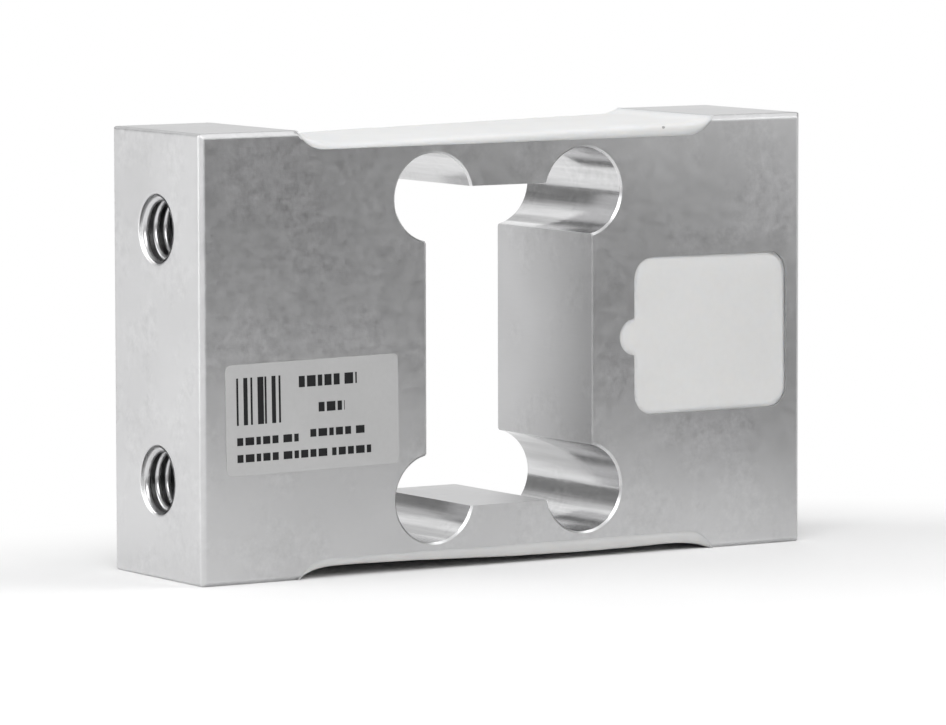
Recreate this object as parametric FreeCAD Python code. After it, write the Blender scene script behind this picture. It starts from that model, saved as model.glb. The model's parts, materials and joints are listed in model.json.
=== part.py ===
import FreeCAD, Part
import math
import os

# Single point load cell. Millimetres, +Z up. Origin: middle of the underside.
# X runs along the beam, the pocket side faces -Y.

V = FreeCAD.Vector
X_AXIS, Y_AXIS, Z_AXIS = V(1, 0, 0), V(0, 1, 0), V(0, 0, 1)

# Beam block
BEAM_LENGTH = 64.0
BEAM_HEIGHT = 40.0
BEAM_THICKNESS = 16.0
LONG_EDGE_CHAMFER = 0.4
END_EDGE_CHAMFER = 0.2

# Shallow gauge recess, the same on top and underneath, between two end pads
PAD_LENGTH = 9.87
RECESS_DEPTH = 1.75
RECESS_END_RADIUS = 3.0

# Window: four bored holes leave the thin sections, a slot joins them
FLEX_THICKNESS = 0.7
FLEX_HOLE_RADIUS = 4.0
FLEX_HOLE_X = 8.0
FLEX_RIM_CHAMFER = 0.2
SLOT_HALF_WIDTH = 8.85
ARM_THICKNESS = 3.8

# M6 mounting holes, two in each end face
MOUNT_HOLE_RADIUS = 3.0
MOUNT_HOLE_SPACING = 22.4
MOUNT_HOLE_DEPTH = 14.0
MOUNT_HOLE_MOUTH = 0.2
DRILL_POINT_ANGLE = 118.0

# Electronics pocket in the front face, with a drilled relief in its inner wall
POCKET_WINDOW_WALL = 4.65
POCKET_END_WALL = 1.6
POCKET_HOLE_WALL = 0.95
POCKET_DEPTH = 7.0
POCKET_CORNER_RADIUS = 2.0
RELIEF_RADIUS = 1.7
RELIEF_INSET = 0.1

# Passages: two wire channels from the recesses, one cable inlet in the end
CHANNEL_RADIUS = 0.9
CHANNEL_INSET = 3.0
CHANNEL_FRONT_DEPTH = 3.5
INLET_RADIUS = 2.3
INLET_FRONT_DEPTH = 3.6

# Potting: height of its open surface over the recess floor, at stations given
# as a share of the floor's half length, and at the foot of each end wall
TOP_POUR = [(-0.93, 0.48), (-0.46, 0.66), (0.0, 0.84), (0.46, 1.03), (0.93, 1.21)]
BOTTOM_POUR = [(-0.93, 0.72), (-0.52, 0.80), (0.0, 1.08), (0.52, 1.18), (0.93, 1.08)]
POUR_LEFT_RUN = 1.0
POUR_LEFT_FOOT = 0.95
POUR_RIGHT_RUN = 1.2
POUR_RIGHT_FOOT = 1.3
POUR_LIP = 0.12
POCKET_POUR_SINK = 0.05
POCKET_POUR_EDGE = 0.15

# Strain gauges, one over each thin section
CARRIER_LENGTH = 5.0
CARRIER_WIDTH = 4.0
CARRIER_THICKNESS = 0.06
FOIL_THICKNESS = 0.03
GRID_LENGTH = 2.6
GRID_LINES = 8
GRID_LINE_WIDTH = 0.16
GRID_PITCH = 0.28
TAB_LENGTH = 0.9
TAB_WIDTH = 0.9

# Solder terminal strip on each recess floor
STRIP_LENGTH = 6.0
STRIP_WIDTH = 1.8
STRIP_THICKNESS = 0.2
STRIP_Y = -2.5
STRIP_PAD_PITCH = 2.0
STRIP_PAD_LENGTH = 1.2
STRIP_PAD_WIDTH = 1.4
PAD_THICKNESS = 0.05

# Wires
LEAD_RADIUS = 0.08
WIRE_RADIUS = 0.2
WIRE_PITCH = 0.5
WIRE_BEND = 0.4
SOLDER_RADIUS = 0.3
SOLDER_TIP_RADIUS = 0.2
SOLDER_HEIGHT = 0.26
SOLDER_GAP = 0.04
LEAD_SPREAD = 0.3
WIRE_SOLDER_RADIUS = 0.4
WIRE_SOLDER_TIP_RADIUS = 0.32
WIRE_SOLDER_HEIGHT = 0.3
WIRE_SIDES = 6
SOLDER_SIDES = 4

# Compensation board on the pocket floor
BOARD_CLEARANCE = 0.9
BOARD_THICKNESS = 0.8
BOARD_PAD_LENGTH = 1.4
BOARD_PAD_WIDTH = 0.9
WIRE_PAD_INSET = 0.9
WIRE_PAD_STEP = 1.2
CABLE_PADS = 6
CABLE_PAD_INSET = 1.3
CABLE_PAD_STEP = 1.8
CHIP_LENGTH = 3.2
CHIP_WIDTH = 1.6
CHIP_HEIGHT = 0.6
CHIP_STEP = 3.6
CHIP_PAD_LENGTH = 0.9
CHIP_SOLDER_RISE = 0.5
CHIP_SOLDER_RUN = 0.7

# Rating label on the front face: bare film
LABEL_LENGTH = 17.8
LABEL_HEIGHT = 9.9
LABEL_THICKNESS = 0.05
LABEL_CORNER_RADIUS = 0.6
LABEL_END_MARGIN = 2.4
LABEL_BASE_MARGIN = 9.75
LABEL_TILT = 0.8

# How far a cutting tool runs past the face it opens
OVERRUN = 1.0

# Derived
MID_Z = BEAM_HEIGHT / 2.0
END_X = BEAM_LENGTH / 2.0
FRONT_Y = -BEAM_THICKNESS / 2.0
BACK_Y = BEAM_THICKNESS / 2.0
RECESS_END_RUN = math.sqrt(RECESS_DEPTH * (2 * RECESS_END_RADIUS - RECESS_DEPTH))
RECESS_FLOOR_HALF = END_X - PAD_LENGTH - RECESS_END_RUN
FLEX_HOLE_RISE = MID_Z - RECESS_DEPTH - FLEX_THICKNESS - FLEX_HOLE_RADIUS
SLOT_HALF_HEIGHT = MID_Z - RECESS_DEPTH - ARM_THICKNESS
POCKET_INNER_X = SLOT_HALF_WIDTH + POCKET_WINDOW_WALL
POCKET_OUTER_X = END_X - POCKET_END_WALL
POCKET_X = (POCKET_INNER_X + POCKET_OUTER_X) / 2.0
POCKET_LENGTH = POCKET_OUTER_X - POCKET_INNER_X
POCKET_HEIGHT = MOUNT_HOLE_SPACING - 2 * (MOUNT_HOLE_RADIUS + POCKET_HOLE_WALL)
POCKET_FLOOR_Y = FRONT_Y + POCKET_DEPTH
CHANNEL_X = POCKET_INNER_X + CHANNEL_INSET
CHANNEL_Y = FRONT_Y + CHANNEL_FRONT_DEPTH
INLET_Y = FRONT_Y + INLET_FRONT_DEPTH
BOARD_LENGTH = POCKET_LENGTH - 2 * BOARD_CLEARANCE
BOARD_HEIGHT = POCKET_HEIGHT - 2 * BOARD_CLEARANCE
BOARD_FRONT_Y = POCKET_FLOOR_Y - BOARD_THICKNESS
PAD_FRONT_Y = BOARD_FRONT_Y - PAD_THICKNESS
CABLE_PAD_X = POCKET_OUTER_X - BOARD_CLEARANCE - CABLE_PAD_INSET
CHIP_X = (CHANNEL_X + CABLE_PAD_X) / 2.0
LABEL_X = -END_X + LABEL_END_MARGIN + LABEL_LENGTH / 2.0
LABEL_Z = LABEL_BASE_MARGIN + LABEL_HEIGHT / 2.0
FLOOR_Z = {"top": BEAM_HEIGHT - RECESS_DEPTH, "bottom": RECESS_DEPTH}
OUTWARD = {"top": 1.0, "bottom": -1.0}


def rounded_plate(length, height, thickness, radius, centre_x, centre_z, front_y):
    """Upright plate with rounded corners, its front face at front_y."""
    plate = Part.makeBox(length, thickness, height,
                         V(centre_x - length / 2.0, front_y, centre_z - height / 2.0))
    corners = [e for e in plate.Edges if abs(e.tangentAt(e.FirstParameter).y) > 0.99]
    return plate.makeFillet(radius, corners)


def level(side, height):
    """World Z of a height measured outward from the recess floor of that side."""
    return FLOOR_Z[side] + OUTWARD[side] * height


def slab(side, x0, y0, length, width, low, thickness):
    """Flat box lying over a recess floor, from height low outward."""
    base = min(level(side, low), level(side, low + thickness))
    return Part.makeBox(length, width, thickness, V(x0, y0, base))


def end_arc_x(height):
    """Half length of the recess at a height over its floor."""
    drop = RECESS_END_RADIUS - height
    return RECESS_FLOOR_HALF + math.sqrt(RECESS_END_RADIUS ** 2 - drop ** 2)


def end_arc(side, sign, height):
    """Arc of the recess end wall, from the floor up to a height."""
    reach = math.acos(1.0 - height / RECESS_END_RADIUS)
    points = []
    for angle in (0.0, reach / 2.0, reach):
        x = RECESS_FLOOR_HALF + RECESS_END_RADIUS * math.sin(angle)
        z = RECESS_END_RADIUS * (1.0 - math.cos(angle))
        points.append(V(sign * x, FRONT_Y, level(side, z)))
    return Part.Arc(*points).toShape()


def prism_from(edges):
    """Front outline swept through the whole thickness of the beam."""
    face = Part.Face(Part.Wire(Part.__sortEdges__(edges)))
    return face.extrude(V(0, BEAM_THICKNESS, 0))


def recess(side):
    """Recess volume, open past the face of the beam."""
    over = RECESS_DEPTH + OVERRUN
    half = end_arc_x(RECESS_DEPTH)
    floor = Part.makeLine(V(-RECESS_FLOOR_HALF, FRONT_Y, level(side, 0)),
                          V(RECESS_FLOOR_HALF, FRONT_Y, level(side, 0)))
    rim = [V(half, FRONT_Y, level(side, RECESS_DEPTH)), V(half, FRONT_Y, level(side, over)),
           V(-half, FRONT_Y, level(side, over)), V(-half, FRONT_Y, level(side, RECESS_DEPTH))]
    edges = [floor, end_arc(side, -1, RECESS_DEPTH), end_arc(side, 1, RECESS_DEPTH)]
    edges += [Part.makeLine(rim[i], rim[i + 1]) for i in range(3)]
    return prism_from(edges)


def window():
    """Dog-bone opening right through the beam, its hole rims chamfered."""
    slot = Part.makeBox(2 * SLOT_HALF_WIDTH, BEAM_THICKNESS, 2 * SLOT_HALF_HEIGHT,
                        V(-SLOT_HALF_WIDTH, FRONT_Y, MID_Z - SLOT_HALF_HEIGHT))
    tools = []
    for x in (-FLEX_HOLE_X, FLEX_HOLE_X):
        for z in (MID_Z - FLEX_HOLE_RISE, MID_Z + FLEX_HOLE_RISE):
            tools.append(Part.makeCylinder(FLEX_HOLE_RADIUS, BEAM_THICKNESS,
                                           V(x, FRONT_Y, z), Y_AXIS))
            wide = FLEX_HOLE_RADIUS + FLEX_RIM_CHAMFER
            tools.append(Part.makeCone(wide, FLEX_HOLE_RADIUS, FLEX_RIM_CHAMFER,
                                       V(x, FRONT_Y, z), Y_AXIS))
            tools.append(Part.makeCone(wide, FLEX_HOLE_RADIUS, FLEX_RIM_CHAMFER,
                                       V(x, BACK_Y, z), -Y_AXIS))
    return slot.fuse(tools)


def pocket_space(front_y):
    """Pocket volume with its relief, from front_y to the pocket floor."""
    depth = POCKET_FLOOR_Y - front_y
    space = rounded_plate(POCKET_LENGTH, POCKET_HEIGHT, depth, POCKET_CORNER_RADIUS,
                          POCKET_X, MID_Z, front_y)
    relief = Part.makeCylinder(RELIEF_RADIUS, depth,
                               V(POCKET_INNER_X + RELIEF_INSET, front_y, MID_Z), Y_AXIS)
    return space.fuse(relief).removeSplitter()


def mounting_hole(sign, z):
    """Blind hole at thread major size: mouth chamfer, wall and drill point."""
    mouth = V(sign * END_X, 0, z)
    inward = V(-sign, 0, 0)
    wall = Part.makeCylinder(MOUNT_HOLE_RADIUS, MOUNT_HOLE_DEPTH, mouth, inward)
    flare = Part.makeCone(MOUNT_HOLE_RADIUS + MOUNT_HOLE_MOUTH, MOUNT_HOLE_RADIUS,
                          MOUNT_HOLE_MOUTH, mouth, inward)
    point_height = MOUNT_HOLE_RADIUS / math.tan(math.radians(DRILL_POINT_ANGLE / 2.0))
    point = Part.makeCone(MOUNT_HOLE_RADIUS, 0, point_height,
                          mouth + inward * MOUNT_HOLE_DEPTH, inward)
    return wall.fuse([flare, point])


def wire_channel(side):
    """Drilled passage from a recess floor into the pocket."""
    length = abs(FLOOR_Z[side] - MID_Z) - POCKET_HEIGHT / 2.0 + OVERRUN
    return Part.makeCylinder(CHANNEL_RADIUS, length, V(CHANNEL_X, CHANNEL_Y, FLOOR_Z[side]),
                             Z_AXIS * -OUTWARD[side])


def block():
    """Sawn and milled block with its outer edges broken."""
    body = Part.makeBox(BEAM_LENGTH, BEAM_THICKNESS, BEAM_HEIGHT, V(-END_X, FRONT_Y, 0))

    def direction(edge):
        return edge.tangentAt(edge.FirstParameter)

    long_edges = [e for e in body.Edges if abs(direction(e).y) < 0.5]
    body = body.makeChamfer(LONG_EDGE_CHAMFER, long_edges)
    across = [e for e in body.Edges
              if abs(direction(e).y) > 0.99 and abs(abs(e.CenterOfMass.x) - END_X) < 1e-6]
    return body.makeChamfer(END_EDGE_CHAMFER, across)


def beam_body():
    """One piece beam: recesses, window, pocket, mounting holes and passages."""
    tools = [recess("top"), recess("bottom"), window(), pocket_space(FRONT_Y - OVERRUN)]
    for sign in (-1, 1):
        for offset in (-MOUNT_HOLE_SPACING / 2.0, MOUNT_HOLE_SPACING / 2.0):
            tools.append(mounting_hole(sign, MID_Z + offset))
    tools += [wire_channel("top"), wire_channel("bottom")]
    tools.append(Part.makeCylinder(INLET_RADIUS, POCKET_END_WALL + 2 * OVERRUN,
                                   V(POCKET_OUTER_X - OVERRUN, INLET_Y, MID_Z), X_AXIS))
    return block().cut(tools).removeSplitter()


def gauge_centre_x(end):
    return -FLEX_HOLE_X if end == "left" else FLEX_HOLE_X


def gauge_carrier(side, end):
    """Thin film that carries one gauge, bonded over a thin section."""
    x = gauge_centre_x(end)
    return slab(side, x - CARRIER_LENGTH / 2.0, -CARRIER_WIDTH / 2.0,
                CARRIER_LENGTH, CARRIER_WIDTH, 0.0, CARRIER_THICKNESS)


def tab_centre(end, row):
    """Solder tab position, on the side of the gauge that faces mid beam."""
    inward = 1.0 if end == "left" else -1.0
    x = gauge_centre_x(end) + inward * (GRID_LENGTH / 2.0 + TAB_LENGTH / 2.0)
    edge = (GRID_LINES - 1) * GRID_PITCH / 2.0 + GRID_LINE_WIDTH / 2.0
    return x, row * (edge - TAB_WIDTH / 2.0)


def gauge_foil(side, end):
    """Folded measuring grid and its two solder tabs, etched from one foil."""
    centre = gauge_centre_x(end)
    inward = 1.0 if end == "left" else -1.0
    pieces = []
    for line in range(GRID_LINES):
        y = (line - (GRID_LINES - 1) / 2.0) * GRID_PITCH
        pieces.append(slab(side, centre - GRID_LENGTH / 2.0, y - GRID_LINE_WIDTH / 2.0,
                           GRID_LENGTH, GRID_LINE_WIDTH, CARRIER_THICKNESS, FOIL_THICKNESS))
        if line < GRID_LINES - 1:
            turn = -inward if line % 2 == 0 else inward
            turn_x = centre + turn * (GRID_LENGTH / 2.0 - GRID_LINE_WIDTH / 2.0)
            pieces.append(slab(side, turn_x - GRID_LINE_WIDTH / 2.0, y,
                               GRID_LINE_WIDTH, GRID_PITCH, CARRIER_THICKNESS, FOIL_THICKNESS))
    for row in (-1, 1):
        x, y = tab_centre(end, row)
        pieces.append(slab(side, x - TAB_LENGTH / 2.0, y - TAB_WIDTH / 2.0,
                           TAB_LENGTH, TAB_WIDTH, CARRIER_THICKNESS, FOIL_THICKNESS))
    return pieces[0].fuse(pieces[1:]).removeSplitter()


def terminal_strip(side):
    """Insulating strip that the gauge leads and wires are joined on."""
    return slab(side, -STRIP_LENGTH / 2.0, STRIP_Y - STRIP_WIDTH / 2.0,
                STRIP_LENGTH, STRIP_WIDTH, 0.0, STRIP_THICKNESS)


def strip_pads(side):
    """Three copper pads on a terminal strip."""
    return [slab(side, i * STRIP_PAD_PITCH - STRIP_PAD_LENGTH / 2.0,
                 STRIP_Y - STRIP_PAD_WIDTH / 2.0, STRIP_PAD_LENGTH, STRIP_PAD_WIDTH,
                 STRIP_THICKNESS, PAD_THICKNESS) for i in (-1, 0, 1)]


def lead_ends(side):
    """Start and end of the four fine leads from gauge tabs to strip pads."""
    tab_height = CARRIER_THICKNESS + FOIL_THICKNESS + SOLDER_GAP + LEAD_RADIUS
    pad_height = STRIP_THICKNESS + PAD_THICKNESS + SOLDER_GAP + LEAD_RADIUS
    pad_y = STRIP_Y + STRIP_PAD_WIDTH / 4.0
    targets = {("left", -1): -STRIP_PAD_PITCH, ("left", 1): -LEAD_SPREAD,
               ("right", 1): LEAD_SPREAD, ("right", -1): STRIP_PAD_PITCH}
    ends = []
    for (end, row), pad_x in targets.items():
        x, y = tab_centre(end, row)
        ends.append((V(x, y, level(side, tab_height)), V(pad_x, pad_y, level(side, pad_height))))
    return ends


def section(centre, normal, radius, sides):
    """Closed regular outline, the section of a fine wire or a solder joint."""
    way = V(normal).normalize()
    across = Z_AXIS if abs(way.z) < 0.9 else X_AXIS
    side_way = way.cross(across).normalize()
    other_way = side_way.cross(way).normalize()
    corners = []
    for step in range(sides + 1):
        angle = math.tau * (step + 0.5) / sides
        corners.append(centre + side_way * (radius * math.cos(angle))
                       + other_way * (radius * math.sin(angle)))
    return Part.makePolygon(corners)


def gauge_leads(side):
    """Four bare leads, each a straight fine wire."""
    return [Part.Face(section(a, b - a, LEAD_RADIUS, WIRE_SIDES)).extrude(b - a)
            for a, b in lead_ends(side)]


def solder_joint(foot, normal, radius, tip_radius, height):
    """Low tapered joint of solder standing on a pad."""
    tip = foot + normal * height
    return Part.makeLoft([section(foot, normal, radius, SOLDER_SIDES),
                          section(tip, normal, tip_radius, SOLDER_SIDES)], True, True)


def solder_dot(foot, normal):
    """Joint at the end of a bare lead."""
    return solder_joint(foot, normal, SOLDER_RADIUS, SOLDER_TIP_RADIUS, SOLDER_HEIGHT)


def wire_solder(foot, normal):
    """Wider joint that holds the end of an insulated wire."""
    return solder_joint(foot, normal, WIRE_SOLDER_RADIUS, WIRE_SOLDER_TIP_RADIUS,
                        WIRE_SOLDER_HEIGHT)


def eased_path(points, ease):
    """Wire path of straight runs, each corner cut across by one short run."""
    eased = [points[0]]
    for before, corner, after in zip(points, points[1:], points[2:]):
        eased.append(corner + (before - corner).normalize() * ease)
        eased.append(corner + (after - corner).normalize() * ease)
    return Part.makePolygon(eased + [points[-1]])


def wire_route(side, index):
    """Corner points of one wire: strip pad, along the floor, down, to the board."""
    pad_x = (-1, 0, 1)[index] * STRIP_PAD_PITCH
    lane_y = CHANNEL_Y + (index - 1) * WIRE_PITCH
    lane_z = level(side, STRIP_THICKNESS + PAD_THICKNESS + SOLDER_GAP + WIRE_RADIUS)
    pad_rise = BOARD_HEIGHT / 2.0 - WIRE_PAD_INSET - (2 - index) * WIRE_PAD_STEP
    pad_z = MID_Z + OUTWARD[side] * pad_rise
    start_y = STRIP_Y - STRIP_PAD_WIDTH / 4.0 + WIRE_RADIUS / 2.0
    return [V(pad_x, start_y, lane_z), V(pad_x, lane_y, lane_z), V(CHANNEL_X, lane_y, lane_z),
            V(CHANNEL_X, lane_y, pad_z), V(CHANNEL_X, PAD_FRONT_Y - SOLDER_GAP, pad_z)]


def bridge_wires(side):
    """Three insulated wires from a terminal strip through the channel to the board."""
    wires = []
    for index in range(3):
        route = wire_route(side, index)
        path = eased_path(route, WIRE_BEND)
        outline = section(route[0], route[1] - route[0], WIRE_RADIUS, WIRE_SIDES)
        wires.append(path.makePipeShell([outline], True, False, 1))
    return wires


def recess_solder(side):
    """Solder on the gauge tabs and strip pads of one recess."""
    out = Z_AXIS * OUTWARD[side]
    pad_top = STRIP_THICKNESS + PAD_THICKNESS
    dots = []
    for tab, pad in lead_ends(side):
        tab_foot = V(tab.x, tab.y, level(side, CARRIER_THICKNESS + FOIL_THICKNESS))
        dots += [solder_dot(tab_foot, out), solder_dot(V(pad.x, pad.y, level(side, pad_top)), out)]
    for index in range(3):
        x = wire_route(side, index)[0].x
        dots.append(wire_solder(V(x, STRIP_Y - STRIP_PAD_WIDTH / 4.0, level(side, pad_top)), out))
    return [dot.cut(gauge_leads(side) + bridge_wires(side)) for dot in dots]


def board():
    """Compensation board standing on the pocket floor."""
    return Part.makeBox(BOARD_LENGTH, BOARD_THICKNESS, BOARD_HEIGHT,
                        V(POCKET_X - BOARD_LENGTH / 2.0, BOARD_FRONT_Y,
                          MID_Z - BOARD_HEIGHT / 2.0))


def board_pad(x, z, length, width):
    return Part.makeBox(length, PAD_THICKNESS, width,
                        V(x - length / 2.0, PAD_FRONT_Y, z - width / 2.0))


def chip_rows():
    return [MID_Z + (row - 1) * CHIP_STEP for row in range(3)]


def board_pads():
    """Copper pads for the bridge wires, the cable cores and the resistors."""
    pads = []
    for side in ("top", "bottom"):
        for index in range(3):
            z = wire_route(side, index)[-1].z
            pads.append(board_pad(CHANNEL_X, z, BOARD_PAD_LENGTH, BOARD_PAD_WIDTH))
    for row in range(CABLE_PADS):
        z = MID_Z + (row - (CABLE_PADS - 1) / 2.0) * CABLE_PAD_STEP
        pads.append(board_pad(CABLE_PAD_X, z, BOARD_PAD_LENGTH, BOARD_PAD_WIDTH))
    for z in chip_rows():
        for sign in (-1, 1):
            x = CHIP_X + sign * (CHIP_LENGTH + CHIP_PAD_LENGTH) / 2.0
            pads.append(board_pad(x, z, CHIP_PAD_LENGTH, CHIP_WIDTH))
    return pads


def chip(z):
    """Chip resistor sitting on the board between its pads."""
    return Part.makeBox(CHIP_LENGTH, CHIP_HEIGHT, CHIP_WIDTH,
                        V(CHIP_X - CHIP_LENGTH / 2.0, BOARD_FRONT_Y - CHIP_HEIGHT,
                          z - CHIP_WIDTH / 2.0))


def chip_fillet(z, sign):
    """Sloped solder wedge between a pad and the end of a chip."""
    wall = CHIP_X + sign * CHIP_LENGTH / 2.0
    toe = wall + sign * CHIP_SOLDER_RUN
    top = BOARD_FRONT_Y - CHIP_SOLDER_RISE
    low = z - CHIP_WIDTH / 2.0
    outline = Part.makePolygon([V(wall, PAD_FRONT_Y, low), V(toe, PAD_FRONT_Y, low),
                                V(wall, top, low), V(wall, PAD_FRONT_Y, low)])
    return Part.Face(outline).extrude(Z_AXIS * CHIP_WIDTH)


def board_solder():
    """Solder around the six wire ends and at both ends of each chip."""
    joints = []
    for side in ("top", "bottom"):
        wires = bridge_wires(side)
        for index in range(3):
            end = wire_route(side, index)[-1]
            dot = wire_solder(V(end.x, PAD_FRONT_Y, end.z), -Y_AXIS)
            joints.append(dot.cut(wires[index]))
    for z in chip_rows():
        joints += [chip_fillet(z, -1), chip_fillet(z, 1)]
    return joints


def pour_profile(side, stations):
    """Outline of a recess pour: wets both end arcs, its surface sags between."""
    lip = RECESS_DEPTH - POUR_LIP
    spots = [(-end_arc_x(lip), lip), (-RECESS_FLOOR_HALF - POUR_LEFT_RUN, POUR_LEFT_FOOT)]
    spots += [(share * RECESS_FLOOR_HALF, height) for share, height in stations]
    spots += [(RECESS_FLOOR_HALF + POUR_RIGHT_RUN, POUR_RIGHT_FOOT), (end_arc_x(lip), lip)]
    curve = Part.BSplineCurve()
    curve.interpolate([V(x, FRONT_Y, level(side, h)) for x, h in spots])
    floor = Part.makeLine(V(-RECESS_FLOOR_HALF, FRONT_Y, level(side, 0)),
                          V(RECESS_FLOOR_HALF, FRONT_Y, level(side, 0)))
    return [floor, end_arc(side, -1, lip), end_arc(side, 1, lip), curve.toShape()]


def recess_fillings(side):
    """Everything that a recess pour covers."""
    parts = [terminal_strip(side)] + strip_pads(side) + gauge_leads(side)
    parts += recess_solder(side) + bridge_wires(side)
    for end in ("left", "right"):
        parts += [gauge_carrier(side, end), gauge_foil(side, end)]
    return parts


def recess_potting(side, stations):
    """Silicone poured over the gauges, moulded around what it covers."""
    return prism_from(pour_profile(side, stations)).cut(recess_fillings(side))


def pocket_potting():
    """Silicone filling the pocket level with the front face, edge drawn in."""
    front = FRONT_Y + POCKET_POUR_SINK
    fill = pocket_space(front)
    rim = [e for e in fill.Edges
           if abs(e.BoundBox.YMin - front) < 1e-6 and abs(e.BoundBox.YMax - front) < 1e-6]
    fill = fill.makeChamfer(POCKET_POUR_EDGE, rim)
    inside = [board()] + board_pads() + board_solder()
    inside += [chip(z) for z in chip_rows()]
    return fill.cut(inside + bridge_wires("top") + bridge_wires("bottom"))


def rating_label():
    """Thin film stuck to the front face, very slightly askew."""
    film = rounded_plate(LABEL_LENGTH, LABEL_HEIGHT, LABEL_THICKNESS, LABEL_CORNER_RADIUS,
                         LABEL_X, LABEL_Z, FRONT_Y - LABEL_THICKNESS)
    film.rotate(V(LABEL_X, 0, LABEL_Z), -Y_AXIS, LABEL_TILT)
    return film


def save(name, shapes):
    """Write one sub-part; loose repeats of one kind share a compound."""
    solids = []
    for shape in shapes:
        solids += shape.Solids
    out = solids[0] if len(solids) == 1 else Part.makeCompound(solids)
    out.exportStep("parts/%s.step" % name)


def main():
    os.makedirs("parts", exist_ok=True)
    save("beam_body", [beam_body()])
    save("pocket_potting", [pocket_potting()])
    save("rating_label", [rating_label()])
    for side, stations in (("top", TOP_POUR), ("bottom", BOTTOM_POUR)):
        save(side + "_potting", [recess_potting(side, stations)])
        for end in ("left", "right"):
            save("gauge_carrier_%s_%s" % (side, end), [gauge_carrier(side, end)])
            save("gauge_foil_%s_%s" % (side, end), [gauge_foil(side, end)])
        save("terminal_strip_" + side, [terminal_strip(side)])
        save("strip_pads_" + side, strip_pads(side))
        save("gauge_leads_" + side, gauge_leads(side))
        save("gauge_solder_" + side, recess_solder(side))
        save("bridge_wires_" + side, bridge_wires(side))
    save("compensation_board", [board()])
    save("board_pads", board_pads())
    save("board_solder", board_solder())
    for name, z in zip(("zero_resistor", "span_resistor", "nickel_resistor"), chip_rows()):
        save(name, [chip(z)])


main()
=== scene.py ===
import json
import math

import bmesh
import bpy
from mathutils import Matrix, Vector


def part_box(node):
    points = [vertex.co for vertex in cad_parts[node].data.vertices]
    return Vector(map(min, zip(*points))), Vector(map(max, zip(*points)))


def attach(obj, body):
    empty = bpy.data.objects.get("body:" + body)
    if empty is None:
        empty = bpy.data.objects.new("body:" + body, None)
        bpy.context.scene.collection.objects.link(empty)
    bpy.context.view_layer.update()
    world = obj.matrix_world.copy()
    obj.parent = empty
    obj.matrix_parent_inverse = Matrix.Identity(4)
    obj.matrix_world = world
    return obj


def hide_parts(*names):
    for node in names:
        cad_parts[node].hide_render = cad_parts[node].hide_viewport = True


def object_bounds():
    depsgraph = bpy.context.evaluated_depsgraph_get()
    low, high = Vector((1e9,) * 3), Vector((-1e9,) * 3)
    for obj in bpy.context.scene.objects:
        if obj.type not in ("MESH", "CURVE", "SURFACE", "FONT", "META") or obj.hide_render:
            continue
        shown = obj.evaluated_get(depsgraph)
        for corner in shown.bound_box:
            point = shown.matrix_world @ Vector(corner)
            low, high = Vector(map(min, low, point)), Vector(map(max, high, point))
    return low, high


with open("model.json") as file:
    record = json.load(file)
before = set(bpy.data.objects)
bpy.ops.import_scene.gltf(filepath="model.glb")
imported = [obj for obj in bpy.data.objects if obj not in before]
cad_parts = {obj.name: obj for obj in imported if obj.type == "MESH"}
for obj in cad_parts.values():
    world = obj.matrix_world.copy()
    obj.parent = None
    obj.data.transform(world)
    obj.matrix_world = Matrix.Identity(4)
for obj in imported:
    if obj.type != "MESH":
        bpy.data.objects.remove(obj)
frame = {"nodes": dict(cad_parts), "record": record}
CAD_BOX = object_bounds()

MM = 0.001

# Floor, metres: a white sheet that ends at the right, along a slanting edge, and far in front
FLOOR_SIZE = 6.0
SHEET_TURN = math.radians(32.0)
SHEET_EDGE = 0.052
SHEET_FADE = 0.03
SHEET_FRONT = -0.15
SHEET_FRONT_END = -0.22
SHEET_BEYOND = 0.15

# Where the floor begins to be seen as plain white, and where it is fully so, metres behind
# the middle plane; beside the block the line comes forward with the distance
GLOW_START = 0.004
GLOW_FULL = 0.04
GLOW_HALF_WIDTH = 0.034
GLOW_SLANT = 0.8

# World, by direction: pale ceiling, back wall that dims downward, dim wall at the left
CEILING_FROM, CEILING_TO, CEILING_LEVEL = 0.66, 0.9, 0.75
BACK_FROM, BACK_TO = 0.3, 0.8
BACK_LOW, BACK_HIGH = 0.3, 0.5
BACK_LOW_LEVEL, BACK_HIGH_LEVEL = 0.25, 0.75
LEFT_FROM, LEFT_TO, LEFT_LEVEL = -0.9, -0.7, 0.3

# Camera: a long lens, a little above the block and to its left
CAMERA_FOCAL_MM = 250.35
CAMERA_SENSOR_MM = 36.0
CAMERA_AZIMUTH = -32.03
CAMERA_ELEVATION = 5.256
CAMERA_ROLL = -0.115
CAMERA_DISTANCE = 602.0 * MM
CAMERA_TARGET = Vector((1.106, 0.0, 17.65)) * MM

# Studio lamps: name, watts, width and place in metres, all turned to the block
LAMP_TARGET = Vector((0.0, 0.0, 0.02))
LAMPS = [("front_left", 0.165, 0.12, (-0.10, -0.12, 0.12)),
         ("front_right", 0.12, 0.12, (0.15, -0.12, 0.10)),
         ("right", 0.2, 0.25, (0.20, -0.20, 0.30)),
         ("softbox", 0.10, 0.13, (0.14, -0.04, 0.36)),
         ("back_softbox", 0.015, 0.12, (-0.04, 0.34, 0.25)),
         ("back_left", 0.75, 0.25, (-0.35, 0.15, 0.15)),
         ("back_right", 0.12, 0.25, (0.25, 0.30, 0.15))]

# Threads of the four end holes, M6 x 1; painted shade darkens the roots past the unshaded mouth
THREAD_MAJOR_RADIUS = 3.01 * MM
THREAD_MINOR_RADIUS = 2.46 * MM
THREAD_PITCH = 1.0 * MM
THREAD_CREST = 0.2 * MM
THREAD_ROOT = 1.0 * MM
THREAD_DEPTH = 12.5 * MM
THREAD_STEPS = 48
COUNTERSINK_RADIUS = 3.2 * MM
UNSHADED_MOUTH = 0.45 * MM

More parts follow.
